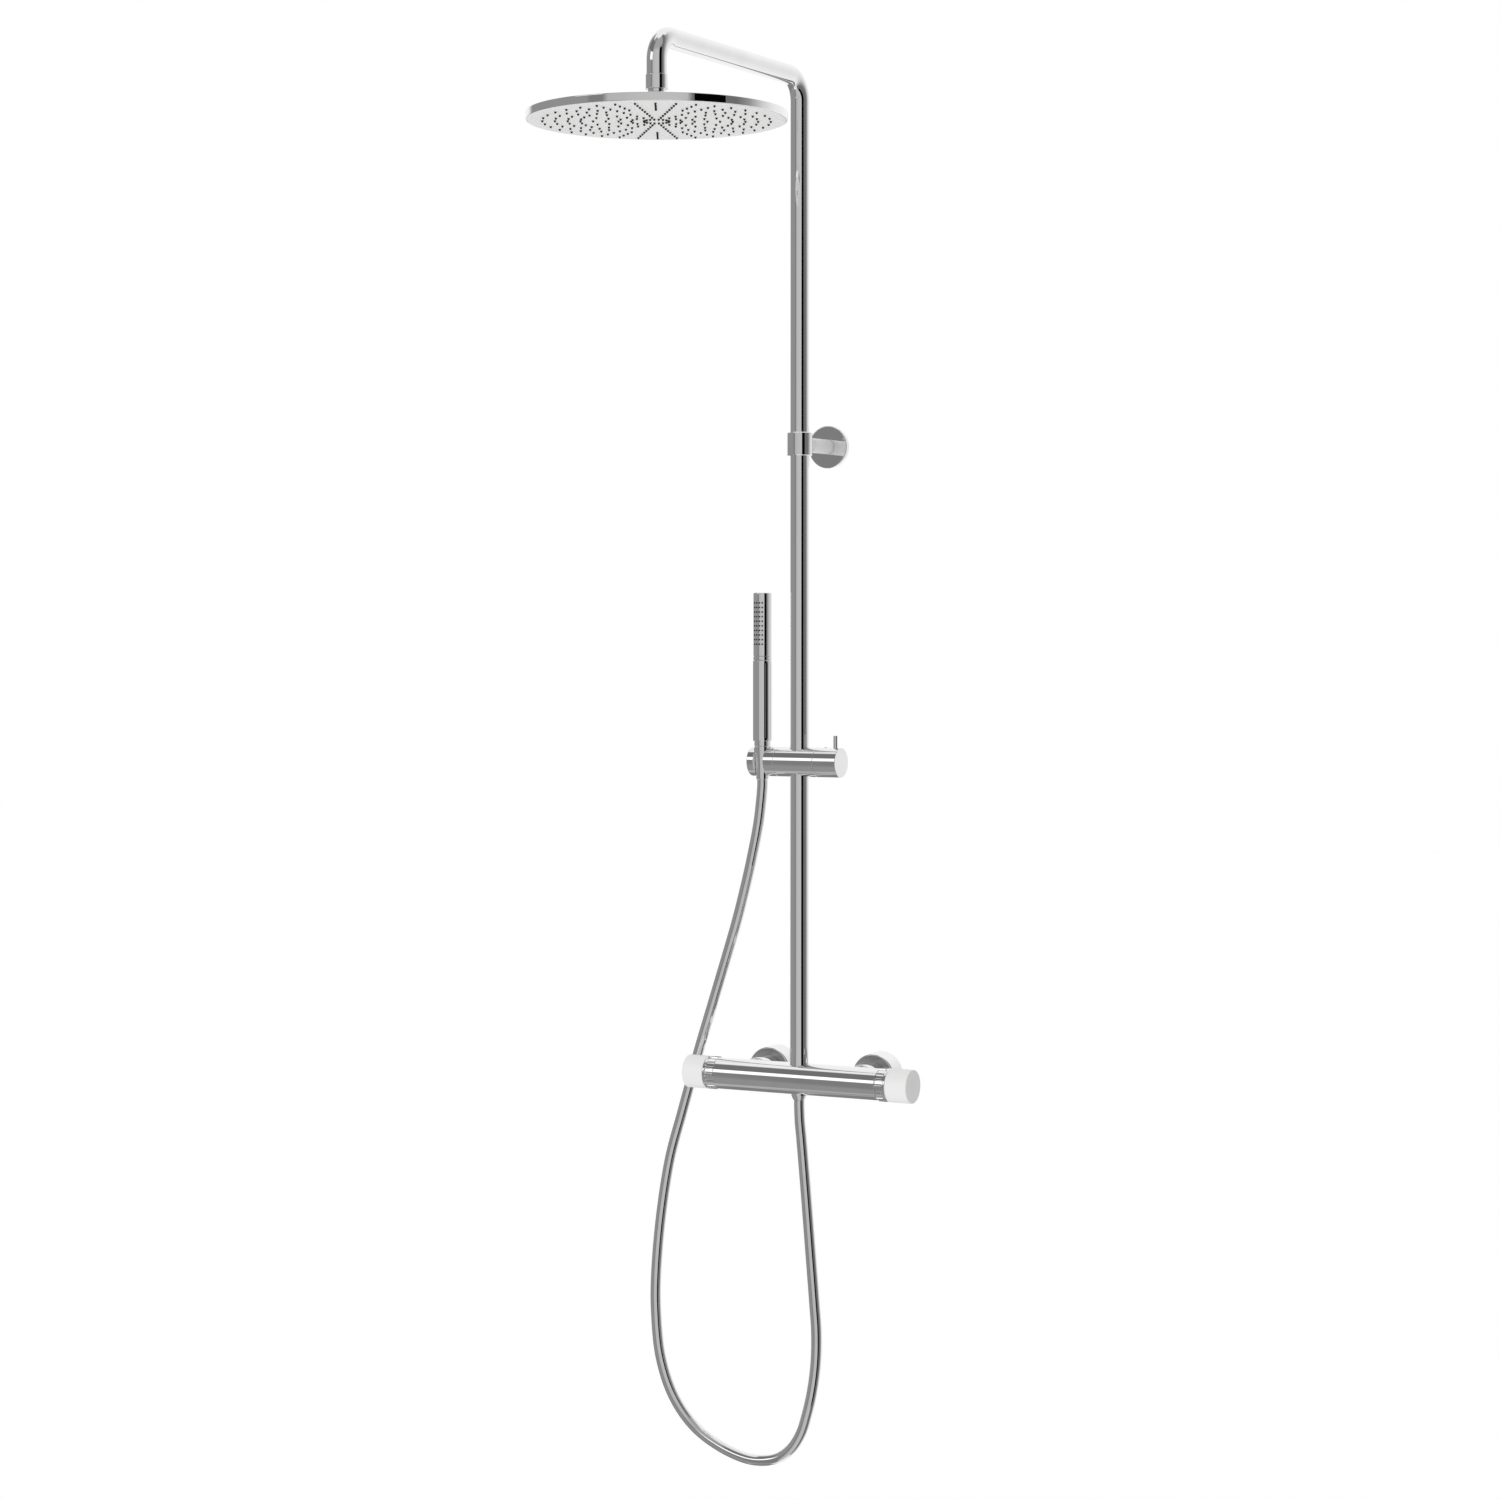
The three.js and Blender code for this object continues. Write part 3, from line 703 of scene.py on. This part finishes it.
# ---- riser and swan-neck arm ----
def make_riser():
    sides = 96
    top = riser.high.z

    def ring_at(radius, height):
        row = []
        for i in range(sides):
            a = 2 * math.pi * i / sides
            px, py = radius * math.cos(a), radius * math.sin(a)
            z = math.sqrt((MIXER_R + 0.1) ** 2 - py ** 2) if height is None else height
            row.append((px, COLUMN_Y + py, z))
        return row

    inner = TUBE_R - 1.2
    heights = [30, 34] + list(np.linspace(80, top - 30, 9)) + [top - 1, top]
    rows = [ring_at(TUBE_R, None)] + [ring_at(TUBE_R, z) for z in heights]
    rows += [ring_at(inner, z) for z in reversed(heights)] + [ring_at(inner, None)]
    install(skinned("riser_tube_detail", rows, closed=True), "riser_tube", look="chrome_tube")


def arm_path():
    """Up from the collar, over one bend, level, and down over the other to the rose."""
    bend = 30.0
    level = arm.high.z - TUBE_R
    front = rose.centre.y
    steps = 28
    path = [(0, COLUMN_Y, z) for z in np.linspace(arm.low.z, level - bend - 2, 9)]
    for k in range(steps + 1):
        a = math.pi / 2 * k / steps
        path.append((0, COLUMN_Y - bend + bend * math.cos(a), level - bend + bend * math.sin(a)))
    path += [(0, y, level) for y in np.linspace(COLUMN_Y - bend - 2, front + bend + 2, 9)]
    for k in range(steps + 1):
        a = math.pi / 2 * k / steps
        path.append((0, front + bend - bend * math.sin(a), level - bend + bend * math.cos(a)))
    path += [(0, front, z) for z in np.linspace(level - bend - 2, ARM_END_Z, 4)]
    return np.array(path, float)


def make_arm():
    path = arm_path()
    install(skinned("shower_arm_detail", tube_rows(path, TUBE_R, 96)), "shower_arm", look="chrome_tube")


make_riser()
make_arm()


# ---- wall bracket ----
def make_bracket():
    height = collar.centre.z
    at = off_wall(0, height)
    deep = -flange.low.y
    rim = flange.half.x
    install(turned("bracket_flange_detail", [
        (5.2, deep - 1.9), (rim - 2.1, deep - 1.9, 0.6), (rim - 2.1, 0, 0.2), (rim, 0, 0.3),
        (rim, deep, 0.9), (5.2, deep, 0.3),
    ], at, 144, ring=True), "bracket_flange")
    neck, spacer_end = 55.0, 67.4
    install(turned("bracket_spacer_detail", [
        (3.3, deep + GAP), (9.3, deep + GAP, 0.4), (9.3, neck, 0.7), (6.8, neck, 0.3),
        (6.8, spacer_end), (3.3, spacer_end),
    ], at, 96, ring=True), "bracket_spacer", look="spacer")
    half = collar.half.z
    outer = 16.0
    cuff = turned("bracket_collar_detail", [
        (TUBE_R + SLIP, -half, 0.3), (outer - 1.0, -half, 0.2), (outer, -half + 1.0, 0.3),
        (outer, half - 1.0, 0.3), (outer - 1.0, half, 0.2), (TUBE_R + SLIP, half, 0.3),
    ], upright(0, COLUMN_Y, height), 128, ring=True)
    grub_turn = math.radians(135)  # at the back, on the left
    middle = upright(0, COLUMN_Y, height)
    grub_at = middle @ Matrix.Rotation(grub_turn, 4, "Z") @ Matrix.Rotation(math.pi / 2, 4, "Y")
    carve(cuff, turned("hole", [(0, 10), (2.4, 10), (2.4, 20), (0, 20)], grub_at, 32))
    true_normals(cuff, [((0, COLUMN_Y, 0), (0, 0, 1), radius) for radius in (outer, TUBE_R + SLIP)])
    install(cuff, "bracket_collar")
    grub = socket_screw("collar_grub_screw_detail", 2.0, TUBE_R + 0.6, outer - 0.8, grub_at)
    install(grub, "collar_grub_screw")


def socket_screw(name, radius, foot, top, at):
    """A headless screw with a hexagonal socket and a thread."""
    threads = max(2, round((top - foot) / 0.5))
    pitch = (top - foot) / threads
    profile = [(0, foot), (radius * 0.7, foot)]
    for i in range(threads):
        profile += [(radius * 0.86, foot + pitch * (i + 0.1)), (radius, foot + pitch * (i + 0.55))]
    profile += [(radius * 0.8, top), (0, top)]
    screw = turned(name, profile, at, 32)
    depth = min(1.6, (top - foot) * 0.5)
    across = radius * 0.55
    foot_of_socket, above = top - depth, top + 1
    socket = [(0, foot_of_socket), (across, foot_of_socket), (across, above), (0, above)]
    hexagon = turned("hexagon", socket, at, 6)
    return carve(screw, hexagon)


make_bracket()


# ---- overhead rose with its ball joint and nozzles ----
FACE_Z = 1155.0
NOZZLE_RINGS = 9
NOZZLE_PITCH = 14.7


def nozzle_places():
    """Nine rings: the five inner ones have 18 nozzles and the outer ones 36."""
    for k in range(1, NOZZLE_RINGS + 1):
        count, first = (18, 10) if k <= 5 else (36, 0)
        for j in range(count):
            a = math.radians(first + 360 * j / count)
            yield NOZZLE_PITCH * k * math.cos(a), NOZZLE_PITCH * k * math.sin(a)


def make_rose():
    front = rose.centre.y
    rim = rose.half.x
    top = rose.high.z
    at = upright(0, front)
    foot = Place("arm_ferrule").low.z
    head = Place("arm_ferrule").high.z
    install(turned("arm_ferrule_detail", [
        (TUBE_R + GAP, foot, 0.2), (13, foot, 0.5), (13, head, 0.6), (TUBE_R + GAP, head, 0.2),
    ], at, 128, ring=True), "arm_ferrule")

    ball_z, ball_r = 1176.0, 11.0
    neck = 6.4
    ball = []
    for k in range(25):
        a = math.radians(-68 + (68 + math.degrees(math.acos(neck / ball_r))) * k / 24)
        ball.append((ball_r * math.cos(a), ball_z + ball_r * math.sin(a)))
    install(turned("ball_stem_detail", ball + [
        (neck, 1187, 0.8), (10.4, 1187.8, 0.4), (10.4, foot + 0.2), (11.9, foot + 0.2), (11.9, 1194.7),
        (10.5, 1194.7), (10.5, 1206), (4, 1206), (4, 1166),
    ], at, 96, ring=True), "ball_stem")

    sides = 96
    nut_foot, nut_top, nut_r = 1169.0, 1183.0, 18.4
    nut = turned("ball_nut_detail", [
        (15.1, nut_foot), (nut_r, nut_foot, 0.5), (nut_r, nut_top, 1.4), (10.6, nut_top, 0.4), (11.4, ball_z),
        (15.1, ball_z),
    ], at, sides, ring=True)
    install(nut, "ball_nut")

    shell = turned("rose_shell_detail", [
        (rim - 1.8, FACE_Z + 0.3, 0.15), (rim, FACE_Z + 0.3, 0.7), (rim, FACE_Z + 9.6, 0.9), (60, 1165.6),
        (24, 1167), (20, 1168.4, 1.0), (14.8, 1168.4, 0.3), (14.8, top, 0.3), (13.6, top), (13.6, 1160.8),
        (5, 1160.8), (5, 1158.6), (16, 1158.6), (18, 1164.0), (60, 1163.6), (148, 1162.6), (rim - 1.8, 1161),
    ], at, 240, ring=True)
    install(shell, "rose_shell")

    plate_r = rim - 2.1
    plate = turned("spray_plate_detail", [
        (0, FACE_Z), (plate_r, FACE_Z, 0.5), (plate_r, FACE_Z + 2.3, 0.2), (0, FACE_Z + 2.3),
    ], at, 240)
    install(plate, "spray_plate")

    nub = [
        (0.45, 1.4), (0.45, 2.0, 0.1), (1.05, 2.0, 0.25), (1.35, 0.35), (1.75, 0.0), (1.75, -0.4), (0.45, -0.4),
    ]
    nubs = []
    for x, y in nozzle_places():
        flip = Matrix.Translation((x, front + y, FACE_Z)) @ Matrix.Rotation(math.pi, 4, "X")
        nubs.append(nozzle(nub, flip, 12))
    attach(batch("rose_nozzles", nubs), "rose", "black_rubber")


def nozzle(profile, at, sides):
    """The points and faces of one small turned nozzle."""
    points = rounded(profile)
    vertices = []
    for r, z in reversed(points):
        for i in range(sides):
            a = -2 * math.pi * i / sides
            vertices.append(tuple(at @ Vector((r * math.cos(a), r * math.sin(a), z))))
    faces = []
    for k in range(len(points)):
        low, high = k * sides, ((k + 1) % len(points)) * sides
        for i in range(sides):
            j = (i + 1) % sides
            faces.append([low + i, low + j, high + j, high + i])
    return vertices, faces


def batch(name, parts):
    vertices = []
    faces = []
    for points, sheets in parts:
        start = len(vertices)
        vertices += points
        faces += [[start + v for v in sheet] for sheet in sheets]
    return mesh_piece(name, vertices, faces)


make_rose()


# ---- slider: body, clamp knob and holder on one axis along X ----
def make_slider():
    height = hub_place.centre.z
    radius = hub_place.half.z
    axis = rightward(0, COLUMN_Y, height)
    core = ((0, COLUMN_Y, height), (1, 0, 0), radius)
    seam = 0.12  # what is left between the body and its neighbours
    hub_left, hub_right = hold.high.x + seam, knob.low.x - seam
    hub = turned("slider_body_detail", [
        (0, hub_left), (radius, hub_left, 0.55), (radius, hub_right, 0.55), (0, hub_right),
    ], axis, 144)
    bore = TUBE_R + 0.25
    cutter = [(0, -25), (bore, -25), (bore, 25), (0, 25)]
    carve(hub, turned("bore", cutter, upright(0, COLUMN_Y, height), 96))
    true_normals(hub, [core, ((0, COLUMN_Y, 0), (0, 0, 1), bore)])
    install(hub, "slider_body")

    foot = knob.low.x
    end = knob.high.x
    wheel = turned("lock_knob_detail", [
        (0, foot), (radius, foot, 0.55), (radius, end, 0.6), (0, end),
    ], axis, 144)
    pin_x, pin_r = Place("lever_pin").centre.x, Place("lever_pin").half.x
    grub_x = Place("knob_grub_screw").centre.x
    for x, r in ((pin_x, pin_r + 0.15), (grub_x, 2.2)):
        carve(wheel, turned("hole", [(0, 12), (r, 12), (r, 25), (0, 25)], upright(x, COLUMN_Y, height), 48))
    true_normals(wheel, [core])
    install(wheel, "lock_knob")
    pin_top = Place("lever_pin").high.z
    install(turned("lever_pin_detail", [
        (0, height + 12), (pin_r, height + 12), (pin_r, pin_top, 0.45), (0, pin_top),
    ], upright(pin_x, COLUMN_Y), 64), "lever_pin")
    grub_at = upright(grub_x, COLUMN_Y)
    grub = socket_screw("knob_grub_screw_detail", 2.0, height + 13, height + radius + 0.3, grub_at)
    install(grub, "knob_grub_screw")

    left, right = hold.low.x, hold.high.x
    claw = turned("holder_detail", [
        (0, left), (radius, left, 0.9), (radius, right, 0.55), (0, right),
    ], axis, 144)
    taper = (cone.half.x - 8.0) / (cone.high.z - cone.low.z)
    foot_r = 8.0 + (height - 25 - cone.low.z) * taper + 0.35
    head_r = 8.0 + (height + 25 - cone.low.z) * taper + 0.35
    seat = turned("seat", [
        (0, height - 25), (foot_r, height - 25), (head_r, height + 25), (0, height + 25),
    ], upright(HAND_X, HAND_Y), 96)
    mouth = 14.6
    slot_rows = [[
        (HAND_X - mouth / 2, HAND_Y - 30, z), (HAND_X + mouth / 2, HAND_Y - 30, z),
        (HAND_X + mouth / 2, HAND_Y, z), (HAND_X - mouth / 2, HAND_Y, z),
    ] for z in (height - 25, height + 25)]
    carve(claw, seat)
    carve(claw, skinned("slot", slot_rows))
    true_normals(claw, [core])
    install(claw, "holder")
    claw.data.materials.append(looks["liner"])
    for face in claw.data.polygons:
        middle = face.center / MM - Vector((0, COLUMN_Y, height))
        reaches = math.hypot(middle.y, middle.z)
        inside = reaches < radius - 0.12 and left + 1.5 < middle.x < right - 1.5
        if inside and abs(face.normal.x) + abs(face.normal.y) > 0.3:
            face.material_index = 1


make_slider()


# ---- hand shower ----
FLUTES = 12
FLUTE_TURN = math.radians(6.7)  # where the first ridge is


def make_hand_shower():
    at = upright(HAND_X, HAND_Y)
    tube = Place("spray_tube")
    ring = Place("handset_ring")
    inlet = Place("handset_inlet")
    radius = tube.half.x
    wand = turned("spray_tube_detail", [
        (9.6, tube.low.z), (radius, tube.low.z, 0.3), (radius, tube.high.z, 1.6), (9.4, tube.high.z, 0.3),
        (9.4, tube.high.z - 3), (0, tube.high.z - 3), (0, tube.high.z - 5), (9.6, tube.high.z - 5),
    ], at, 144, ring=True)
    install(wand, "spray_tube", look="chrome_tube")
    install(turned("handset_ring_detail", [
        (10, ring.low.z), (radius, ring.low.z, 0.4), (radius, ring.high.z, 0.4), (10, ring.high.z),
    ], at, 144, ring=True), "handset_ring")

    # The grip's shallow flutes run its whole length and fade out at both ends.
    grip_r = grip.half.x
    bore = 9.8
    columns = FLUTES * 20
    depth = 0.26
    rows = []
    run = 4.0
    levels = [0, 0.25, 0.5, 1, 2, 3, run] + list(np.linspace(12, 90, 8))
    heights = sorted({grip.low.z + v for v in levels} | {grip.high.z - v for v in levels[:-1]})
    for z in heights:
        inside = min(z - grip.low.z, grip.high.z - z)
        edge = 0.4 * (1 - smooth(inside / 0.5))
        share = smooth(inside / run)
        row = []
        for i in range(columns):
            a = 2 * math.pi * i / columns
            groove = 0.5 - 0.5 * math.cos(FLUTES * (a - FLUTE_TURN))
            r = grip_r - edge - depth * share * groove
            row.append((r * math.cos(a), r * math.sin(a), z))
        rows.append(row)
    for z in (grip.high.z, grip.low.z):
        angles = [2 * math.pi * i / columns for i in range(columns)]
        rows.append([(bore * math.cos(a), bore * math.sin(a), z) for a in angles])
    handle = skinned("handset_grip_detail", rows, at, closed=True, sharp=50)
    install(handle, "handset_grip", look="chrome_tube")

    neck = inlet.half.x
    spigot_foot, washer_seat = 404.6, 402.2
    install(turned("handset_inlet_detail", [
        (6.5, cone.high.z + GAP), (neck, cone.high.z + GAP, 0.3), (neck, grip.low.z - GAP),
        (9.4, grip.low.z - GAP), (9.4, grip.low.z + 3.6), (4.5, grip.low.z + 3.6),
        (4.5, spigot_foot), (6.5, spigot_foot),
    ], at, 96, ring=True), "handset_inlet")
    install(turned("hose_cone_nut_detail", [
        (4.5, cone.low.z), (8.0, cone.low.z, 0.4), (cone.half.x, cone.high.z, 0.4), (6.9, cone.high.z),
        (6.9, washer_seat), (4.5, washer_seat),
    ], at, 128, ring=True), "hose_cone_nut")

    # Four columns of ten soft nozzles look out of the front of the tube.
    nub = [
        (0.3, 0.3), (0.3, 0.75, 0.08), (0.75, 0.75, 0.2), (1.05, 0.1), (1.3, -0.1), (1.3, -0.5), (0.3, -0.5),
    ]
    parts = []
    first_row, last_row = 548.0, 600.0
    for row in range(10):
        for column in (-27, -9, 9, 27):
            turn = math.radians(column)
            z = first_row + (last_row - first_row) * row / 9
            face = Matrix.Translation((HAND_X, HAND_Y, z)) @ Matrix.Rotation(turn, 4, "Z")
            face = face @ Matrix.Rotation(math.pi / 2, 4, "X") @ Matrix.Translation((0, 0, radius))
            parts.append(nozzle(nub, face, 12))
    attach(batch("handset_nozzles", parts), "hand_shower", "black_rubber")


make_hand_shower()


# ---- what stays hidden or half hidden keeps its CAD mesh and takes a finish ----
def finish_cad_nodes():
    for name, node in frame["nodes"].items():
        look = looks[slot_of[name]]
        for slot in node.material_slots:
            slot.material = look


finish_cad_nodes()


# ---- a plain floor below the column ----
def make_floor():
    size, height = 14000.0, -640.0
    corners = [(-size, -size, height), (size, -size, height), (size, size, height), (-size, size, height)]
    floor = mesh_piece("floor", corners, [[0, 1, 2, 3]])
    material, graph, shader, place = surface("floor_pale", (0.9, 0.9, 0.9, 1), 0.0, Emission_Strength=0.3)
    shader.inputs["Emission Color"].default_value = (1, 1, 1, 1)
    graph.feed(shader.inputs["Roughness"], graph.span(noise(graph, place, 4.0), 0.3, 0.7, 0.7, 0.85))
    floor.data.materials.append(material)
    floor.visible_glossy = False
    floor.visible_diffuse = False


make_floor()


# ---- a tall dark card beside the camera, which only reflections see ----
def make_card():
    middle = Vector((1224, -731, 450))
    half_width, half_height = 325, 1650
    across = Vector((0, COLUMN_Y, 450)) - middle
    across = Vector((-across.y, across.x, 0)).normalized() * half_width
    rise = Vector((0, 0, half_height))
    left, right = middle - across, middle + across
    corners = [left - rise, right - rise, right + rise, left + rise]
    card = mesh_piece("dark_card", corners, [[0, 1, 2, 3]])
    material, graph, shader, place = surface("card_black", (0.0015, 0.0015, 0.0015, 1), Roughness=1.0)
    shader.inputs["Specular IOR Level"].default_value = 0.0
    weave = graph.span(noise(graph, place, 40.0), 0.3, 0.7, 0.9, 1.0)
    graph.feed(shader.inputs["Roughness"], weave)
    card.data.materials.append(material)
    card.visible_camera = False
    card.visible_diffuse = False
    card.visible_shadow = False
    card.visible_transmission = False


make_card()
